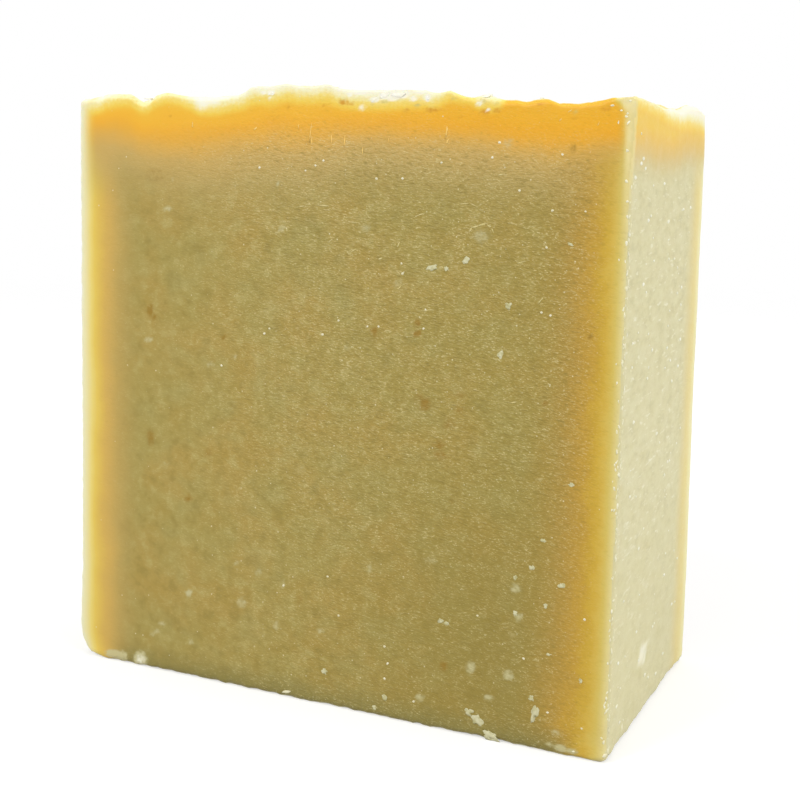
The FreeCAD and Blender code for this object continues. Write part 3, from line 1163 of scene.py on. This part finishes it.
@dataclass(frozen=True)
class Speck:
    """One grain or flake read off the photograph: its pixel, and its size in millimetres."""

    pixel: Pixel
    length: float
    width: float
    turn: float = 0.0
    height: float = 0.0


def specks(*rows: tuple[float, ...]) -> tuple[Speck, ...]:
    """Specks from rows of a pixel's place across and down, a length, a width, a turn and a height."""
    return tuple(Speck(row[:2], *row[2:]) for row in rows)


class Lie(Enum):
    """The faces on which lumps are strewn."""

    BACK = "back"
    LEFT = "left"
    RIGHT = "right"
    TOP = "top"


@dataclass
class Crumbs:
    """Many small closed lumps, each partly sunk in the bar's surface, as one piece.

    The seed starts the piece's own row of chance numbers. The rounds say how finely a lump is divided.
    """

    name: str
    finish: GrainFinish
    tree: BVHTree
    view: Viewpoint
    seed: int
    rounds: int = 2
    verts: list = field(default_factory=list)
    faces: list = field(default_factory=list)

    def __post_init__(self) -> None:
        """Makes the ball that each lump starts from, and the source of chance."""
        ball = bmesh.new()
        bmesh.ops.create_icosphere(ball, subdivisions=self.rounds, radius=1.0)
        self.ball = np.array([v.co[:] for v in ball.verts])
        self.ball_faces = np.array([[v.index for v in f.verts] for f in ball.faces])
        ball.free()
        self.chance = np.random.default_rng(self.seed)

    def add_lump(self, centre: Vector, outward: Vector, sizes: tuple[float, float, float], turn: float,
                 sunk: float = 0.35, lumpy: float = 0.35) -> None:
        """Adds one lump.

        Args:
            centre: The place on the surface, in millimetres.
            outward: The surface's direction there.
            sizes: Half the lump's length, width and height.
            turn: How far its length is turned from level.
            sunk: The share of its height that is below the surface.
            lumpy: How uneven it is.
        """
        level = Vector((0, 0, 1)).cross(outward)
        if level.length < 0.3:
            level = Vector((1, 0, 0))
        level.normalize()
        along = Matrix.Rotation(turn, 3, outward) @ level
        aside = outward.cross(along).normalized()
        shift = self.draw(0.0, 90.0)
        bulge = 1.0 + lumpy * np.array([noise.noise(Vector(p) * 1.4 + Vector((shift,) * 3)) for p in self.ball])
        shape = self.ball * bulge[:, None] * np.array(sizes)
        middle = np.array(centre) + np.array(outward) * sizes[2] * (1.0 - 2.0 * sunk) * 0.5
        places = middle + shape[:, :1] * np.array(along) + shape[:, 1:2] * np.array(aside)
        places += shape[:, 2:] * np.array(outward)
        places[:, 2] = np.maximum(places[:, 2], 0.0)
        self.faces += (self.ball_faces + len(self.verts)).tolist()
        self.verts += places.tolist()

    def draw(self, low: float, high: float) -> float:
        """A chance number between two others."""
        return float(self.chance.uniform(low, high))

    def add_listed(self, listed: tuple[Speck, ...], height: float, sunk: float, lumpy: float,
                   shares: tuple[float, float] = (0.5, 0.5)) -> None:
        """Adds a lump for each speck that the photograph shows.

        Args:
            listed: The specks.
            height: Half the height of a lump whose speck gives none.
            sunk: The share of its height that is below the surface.
            lumpy: How uneven it is.
            shares: Half of the lump's length and width, as shares of the speck's.
        """
        for speck in listed:
            found = self.seen_at(speck.pixel)
            if found:
                sizes = (speck.length * shares[0], speck.width * shares[1], speck.height or height)
                self.add_lump(*found, sizes, speck.turn, sunk, lumpy)

    def seen_at(self, pixel: Pixel) -> Spot | None:
        """The place and direction of the surface that a pixel of the photograph shows."""
        place, outward, _, _ = self.tree.ray_cast(Vector(self.view.station), self.view.sight(pixel), RAY)
        return (place, outward) if place is not None else None

    def on_face(self, lie: Lie, first: float, second: float) -> Spot | None:
        """The place and direction of the surface, seen from straight outside.

        Args:
            lie: The face.
            first: The place's first coordinate on the face: X, or Y on a side.
            second: The place's second one: Z, or Y on the top.

        Returns:
            The place and the direction, or None where there is no surface.
        """
        far, above = 80.0, 100.0
        start, inward = {
            Lie.BACK: ((first, far, second), (0, -1, 0)),
            Lie.LEFT: ((-far, first, second), (1, 0, 0)),
            Lie.RIGHT: ((far, first, second), (-1, 0, 0)),
            Lie.TOP: ((first, second, above), (0, 0, -1)),
        }[lie]
        place, outward, _, _ = self.tree.ray_cast(Vector(start), Vector(inward), RAY)
        return (place, outward) if place is not None else None

    def show_piece(self) -> bpy.types.Object:
        """Puts all the lumps in the scene as one piece.

        Returns:
            The piece.
        """
        mesh = bpy.data.meshes.new(self.name)
        mesh.from_pydata(np.array(self.verts) * MM, [], self.faces)
        mesh.polygons.foreach_set("use_smooth", [True] * len(mesh.polygons))
        mesh.update()
        return show(self.name, mesh, self.finish.paint())


# The grains, flakes, clumps and threads that the photograph shows. The grains are single pixels' places.
BRIGHT_SPECKS = (
    (259, 167), (305, 170), (315, 165), (323, 160), (376, 178), (402, 178), (499, 142), (492, 157), (441, 162),
    (562, 154), (519, 190), (552, 210), (585, 211), (401, 263), (402, 273), (367, 326), (378, 326), (322, 334),
    (338, 320), (425, 309), (423, 328), (546, 247), (550, 315), (541, 312), (269, 328), (264, 333), (221, 365),
    (327, 576), (338, 615), (283, 585), (384, 646), (387, 663), (384, 678), (413, 701), (584, 619), (581, 728),
    (547, 712), (477, 615), (523, 658),
)
SIDE_SPECKS = (
    (643, 158), (641, 163), (645, 168), (635, 177), (664, 183), (690, 207), (648, 220), (668, 221), (643, 284),
    (681, 287), (648, 367), (633, 422), (656, 433), (667, 461), (643, 528), (655, 673), (616, 706),
)
FRONT_FLAKES = specks(
    (570, 244, 0.65, 0.22, -18 * DEGREE), (432, 267, 0.95, 0.5, 12 * DEGREE), (465, 260, 0.7, 0.5, 30 * DEGREE),
    (446, 268, 0.4, 0.4), (508, 305, 0.5, 0.6, 70 * DEGREE), (500, 355, 0.4, 0.6), (440, 620, 0.5, 0.45),
    (446, 623, 0.45, 0.35), (468, 711, 0.8, 0.7, -35 * DEGREE), (477, 719, 1.0, 0.8, -40 * DEGREE),
    (489, 735, 1.8, 0.7, -20 * DEGREE), (531, 698, 0.5, 0.45), (534, 711, 1.5, 0.7, 80 * DEGREE),
    (548, 654, 0.5, 0.25), (580, 680, 0.3, 0.4), (561, 585, 0.5, 0.5), (531, 567, 0.4, 0.4),
    (545, 605, 0.35, 0.35), (571, 484, 0.5, 0.3), (543, 540, 0.4, 0.35), (515, 613, 0.4, 0.4),
    (515, 577, 0.35, 0.35), (384, 697, 0.5, 0.6), (374, 707, 0.4, 0.4), (324, 671, 0.5, 0.5),
)
ASH_CLUMPS = specks(
    (271, 93, 0.5, 0.3, 0.3, 0.03), (384, 95, 0.8, 0.5, 0.2, 0.03), (398, 94, 1.2, 0.4, 0.1, 0.03),
    (427, 97, 0.35, 0.5, 0.3, 0.03), (487, 95, 0.9, 0.4, 0.1, 0.04), (374, 99, 0.6, 0.3, 0.5, 0.03),
)
GOLD_THREADS = specks(
    (310, 132, 1.6, 0.1, 1.45), (311, 141, 0.8, 0.1, 1.5), (344, 140, 1.1, 0.1, 1.5),
    (331, 138, 0.7, 0.08, 1.6), (446, 132, 1.1, 0.14, 1.4), (447, 141, 0.5, 0.12, 1.2),
    (298, 126, 0.5, 0.08, 1.5), (388, 140, 0.5, 0.08, 1.4), (362, 150, 0.6, 0.08, 1.6),
    (560, 119, 0.4, 0.1, 0.8), (598, 123, 0.3, 0.1, 1.2), (570, 110, 0.5, 0.1, 0.6), (192, 124, 0.6, 0.14, 1.5),
    (255, 128, 0.4, 0.12, 0.7),
)
PALE_THREADS = specks(
    (501, 174, 0.6, 0.1, 0.2), (470, 229, 0.5, 0.14, 1.0), (475, 226, 0.6, 0.14, 0.35),
    (482, 224, 0.7, 0.14, 0.25), (488, 225, 0.5, 0.12, -0.6), (492, 230, 0.5, 0.1, -1.0),
    (322, 205, 1.3, 0.08, 0.0), (300, 206, 0.9, 0.08, 0.15), (420, 214, 0.9, 0.08, 0.3),
    (441, 162, 0.4, 0.16, 0.6), (355, 222, 0.7, 0.08, 0.1), (465, 203, 0.9, 0.08, 0.1),
    (330, 240, 0.6, 0.1, 0.6), (398, 244, 0.6, 0.1, 1.2), (399, 287, 0.5, 0.1, 0.8), (380, 258, 0.5, 0.1, 0.3),
    (353, 250, 0.5, 0.12, 0.5), (426, 310, 1.0, 0.08, 0.2), (520, 262, 0.7, 0.1, 0.3),
    (540, 300, 0.6, 0.1, 0.9), (470, 330, 0.8, 0.08, 0.2), (512, 402, 0.7, 0.1, 0.2),
)
CORNER_CRUMBS = specks(
    (630, 100, 0.3, 0.25), (627, 113, 0.3, 0.2, 0.5), (626, 116, 0.35, 0.3), (628, 122, 0.5, 0.2, 0.8),
    (621, 110, 0.25, 0.2), (618, 122, 0.15, 0.35), (612, 105, 0.4, 0.25), (641, 133, 0.3, 0.5, 90 * DEGREE),
    (627, 150, 0.3, 0.4, 90 * DEGREE), (626, 181, 0.3, 0.35), (627, 201, 0.25, 0.4, 90 * DEGREE),
    (627, 216, 0.5, 0.3, 90 * DEGREE), (626, 243, 0.5, 0.3, 90 * DEGREE), (627, 272, 0.6, 0.3, 90 * DEGREE),
    (628, 280, 0.5, 0.35, 0.6), (626, 288, 0.5, 0.3, 90 * DEGREE), (624, 315, 0.6, 0.25, 90 * DEGREE),
    (624, 346, 0.5, 0.3, 1.2), (624, 356, 0.6, 0.25, 90 * DEGREE), (624, 388, 0.7, 0.3, 90 * DEGREE),
    (622, 422, 0.7, 0.35, 1.4), (622, 432, 0.6, 0.35, 90 * DEGREE), (620, 453, 0.6, 0.25, 90 * DEGREE),
    (620, 466, 0.6, 0.3, 1.4), (617, 505, 0.6, 0.3, 90 * DEGREE), (615, 556, 0.8, 0.3, 90 * DEGREE),
    (613, 600, 0.4, 0.3), (611, 650, 0.7, 0.3, 90 * DEGREE), (610, 702, 0.7, 0.35, 1.4),
    (609, 716, 0.5, 0.3, 90 * DEGREE), (608, 730, 0.6, 0.4, 90 * DEGREE), (608, 749, 1.1, 0.5, 1.4),
    (604, 755, 0.6, 0.4, 0.5), (573, 751, 0.35, 0.2, 0.2), (621, 728, 0.9, 0.3, 1.2), (613, 741, 0.7, 0.3, 1.2),
    (607, 750, 0.6, 0.4, 1.2), (285, 691, 1.2, 0.4, 0.2),
)


@dataclass
class Details:
    """The small pieces in the bar's surface, and how many of their lumps are strewn by chance."""

    tree: BVHTree
    view: Viewpoint
    back_grains: int = 90
    side_grains: int = 70
    ash_clumps: int = 130
    corner_chips: int = 150

    def lumps(self, name: str, finish: GrainFinish, seed: int, rounds: int = 2) -> Crumbs:
        """An empty piece, to which lumps are added."""
        return Crumbs(name, finish, self.tree, self.view, seed, rounds)

    def add_grains(self) -> None:
        """The white grains in the cut faces: those that the photograph shows, and like ones on the back."""
        finish = GrainFinish("pale_grain", (246, 241, 216), (228, 220, 178))
        grains = self.lumps("cut_face_grains", finish, seed=21)
        for pixel in BRIGHT_SPECKS:
            found = grains.seen_at(pixel)
            size = grains.draw(0.08, 0.12)
            if found:
                grains.add_lump(*found, (size * 1.2, size, size * 0.4), grains.draw(-0.6, 0.9))
        for _ in range(self.back_grains):
            found = grains.on_face(Lie.BACK, grains.draw(-26, 26), grains.draw(2, 52))
            size = grains.draw(0.07, 0.16)
            if found:
                grains.add_lump(*found, (size * 1.2, size, size * 0.6), grains.draw(-0.6, 0.9))
        grains.show_piece()

    def add_flakes(self) -> None:
        """The flat flakes that the knife left on the front cut face."""
        finish = GrainFinish("pale_flake", (217, 213, 174), (192, 186, 134))
        flakes = self.lumps("cut_face_flakes", finish, seed=33, rounds=3)
        flakes.add_listed(FRONT_FLAKES, height=0.045, sunk=0.55, lumpy=1.1)
        flakes.show_piece()

    def add_side_grains(self) -> None:
        """The white grains in the two faces that lay against the mould."""
        finish = GrainFinish("white_grain", (246, 243, 226), (234, 230, 202))
        grains = self.lumps("mould_face_grains", finish, seed=45)
        for pixel in SIDE_SPECKS:
            found = grains.seen_at(pixel)
            size = grains.draw(0.13, 0.2)
            if found:
                grains.add_lump(*found, (size * 2.2, size, size * 0.3), 0.0, 0.6)
        for lie in (Lie.LEFT, Lie.RIGHT):
            for _ in range(self.side_grains):
                found = grains.on_face(lie, grains.draw(-12, 12), grains.draw(2, 54))
                size = grains.draw(0.08, 0.18)
                if found:
                    grains.add_lump(*found, (size * 2.0, size, size * 0.35), 0.0, 0.35)
        grains.show_piece()

    def add_ash(self) -> None:
        """The white clumps of ash on the top edge, and like ones all over the poured top."""
        finish = GrainFinish("ash_white", (254, 252, 242), (251, 247, 222))
        ash = self.lumps("ash_clumps", finish, seed=57, rounds=3)
        ash.add_listed(ASH_CLUMPS, height=0.03, sunk=0.6, lumpy=0.9)
        for _ in range(self.ash_clumps):
            along = ash.draw(-28, 28)
            found = ash.on_face(Lie.TOP, along, ash.draw(-11, 14))
            size = ash.draw(0.2, 0.7)
            if found:
                ash.add_lump(*found, (size * 1.5, size, size * 0.16), ash.draw(-1.5, 1.5), 0.5, 0.9)
        ash.show_piece()

    def add_threads(self) -> None:
        """Fine threads that the knife dragged out of the front cut face, golden where the rim is."""
        gold = GrainFinish("gold_thread", (252, 218, 132), (244, 200, 104))
        pale = GrainFinish("pale_thread", (226, 212, 152), (206, 190, 122))
        for name, finish, listed in (("gold_threads", gold, GOLD_THREADS), ("pale_threads", pale, PALE_THREADS)):
            threads = self.lumps(name, finish, seed=71)
            threads.add_listed(listed, height=0.02, sunk=0.4, lumpy=1.2)
            threads.show_piece()

    def add_edge_crumbs(self) -> None:
        """The crumbs along the corner of the front and right faces, and those along the front's foot."""
        finish = GrainFinish("cut_crumb", (250, 246, 220), (234, 227, 186))
        crumbs = self.lumps("corner_crumbs", finish, seed=69)
        crumbs.add_listed(CORNER_CRUMBS, height=0.04, sunk=0.6, lumpy=0.9, shares=(0.42, 0.38))
        low, high = [Vector(corner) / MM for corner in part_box(BAR_NODE)]
        outside, inward = Vector((3.0, -3.0, 0.0)), Vector((-1.0, 1.0, 0.0))
        for _ in range(self.corner_chips):
            height = crumbs.draw(1.0, 53.0)
            aside = float(crumbs.chance.normal(0.2, 0.2))
            corner = Vector((high.x - RIGHT_LEAN * height / MEAN_TOP + aside,
                             low.y + FRONT_LEAN * height / MEAN_TOP + aside, height))
            spot, outward, _, _ = self.tree.ray_cast(corner + outside, inward)
            size = crumbs.draw(0.04, 0.1)
            if spot is not None:
                turn = float(crumbs.chance.normal(1.5, 0.3))
                crumbs.add_lump(spot, outward, (size * 2.2, size, 0.03), turn, 0.6, 0.9)
        crumbs.show_piece()


@dataclass(frozen=True)
class Lamp:
    """One soft lamp: where it hangs, how wide it is, and its strength in watts."""

    name: str
    place: tuple[float, float, float]
    width: float
    power: float


@dataclass(frozen=True)
class Studio:
    """The plain pale floor, the soft lamps and the white surroundings. In metres."""

    lamps: tuple = (Lamp("key", (-0.30, -0.42, 0.42), 0.35, 2.3),
                    Lamp("side", (0.55, -0.12, 0.26), 0.45, 1.9),
                    Lamp("over", (0.05, 0.18, 0.62), 0.50, 1.2))
    sky: float = 0.4
    floor_width: float = 1.2
    floor_fade: tuple[float, float] = (0.12, 0.45)
    floor_colour: Colour = (204, 204, 204)
    floor_lift: float = 0.5
    floor_drop: float = 0.00002
    bar_middle: tuple[float, float, float] = (0.0, 0.0, 0.03)

    def light(self) -> None:
        """Hangs the lamps, each turned to the bar's middle."""
        for lamp in self.lamps:
            data = bpy.data.lights.new(lamp.name, "AREA")
            data.shape = "DISK"
            data.size = lamp.width
            data.energy = lamp.power
            lit = bpy.data.objects.new(lamp.name, data)
            lit.location = lamp.place
            inward = Vector(self.bar_middle) - Vector(lamp.place)
            lit.rotation_euler = inward.to_track_quat("-Z", "Y").to_euler()
            bpy.context.scene.collection.objects.link(lit)

    def surround(self) -> None:
        """A white world to the eye and in reflections, and an even soft light on the bar."""
        kit = NodeKit("studio", world=True)
        even = kit.add("ShaderNodeMix", {}, {0: self.plainly_seen(kit), 2: self.sky, 3: 1.0})
        back = kit.add("ShaderNodeBackground", {}, {"Color": (1, 1, 1, 1), "Strength": even.outputs[0]})
        kit.add("ShaderNodeOutputWorld", {}, {"Surface": back.outputs[0]})
        bpy.context.scene.world = kit.material

    @staticmethod
    def plainly_seen(kit: NodeKit) -> Value:
        """What only looks at the surroundings, and isn't light on the bar.

        Args:
            kit: The nodes of the floor or the world.

        Returns:
            1 for the camera, a reflection and what is seen through clear material, otherwise 0.
        """
        path = kit.add("ShaderNodeLightPath")
        seen = [Value(kit, path.outputs[f"Is {ray} Ray"]) for ray in ("Camera", "Glossy", "Transmission")]
        return kit.higher(seen[0], kit.higher(seen[1], seen[2]))

    def lay_floor(self) -> None:
        """A wide white floor, just under the bar."""
        half = self.floor_width / 2.0
        depth = -self.floor_drop
        mesh = bpy.data.meshes.new("floor")
        mesh.from_pydata([(-half, -half, depth), (half, -half, depth), (half, half, depth), (-half, half, depth)],
                         [], [(0, 1, 2, 3)])
        kit = NodeKit("floor_white")
        plain = kit.add("ShaderNodeBsdfDiffuse", {}, {"Color": linear(self.floor_colour)})
        white = kit.add("ShaderNodeEmission", {}, {"Color": (1, 1, 1, 1), "Strength": self.floor_lift})
        both = kit.add("ShaderNodeAddShader", {}, {0: plain.outputs[0], 1: white.outputs[0]})
        lit = kit.add("ShaderNodeMixShader", {}, {0: self.plainly_seen(kit), 1: plain.outputs[0],
                                                  2: both.outputs[0]})
        away = kit.add("ShaderNodeVectorMath", {"operation": "LENGTH"},
                       {0: kit.add("ShaderNodeTexCoord").outputs["Object"]})
        far = kit.rise(Value(kit, away.outputs["Value"]), *self.floor_fade)
        clear = kit.add("ShaderNodeBsdfTransparent")
        surface = kit.add("ShaderNodeMixShader", {}, {0: far, 1: lit.outputs[0], 2: clear.outputs[0]})
        kit.add("ShaderNodeOutputMaterial", {}, {"Surface": surface.outputs[0]})
        floor = bpy.data.objects.new("floor", mesh)
        bpy.context.scene.collection.objects.link(floor)
        mesh.materials.append(kit.material)


def main() -> None:
    """Builds the bar's looks, its grains, the studio and the camera."""
    logging.basicConfig(level=logging.INFO, format="%(name)s %(message)s")
    bpy.context.scene.view_settings.view_transform = "Standard"
    view = Viewpoint()
    bar = BarSurface()
    piece = bar.build(view)
    points = [vertex.co / MM for vertex in piece.data.vertices]
    tree = BVHTree.FromPolygons(points, bar.faces)
    details = Details(tree, view)
    details.add_grains()
    details.add_flakes()
    details.add_side_grains()
    details.add_ash()
    details.add_threads()
    details.add_edge_crumbs()
    studio = Studio()
    studio.light()
    studio.surround()
    studio.lay_floor()
    view.place_camera()


if __name__ == "__main__":
    main()
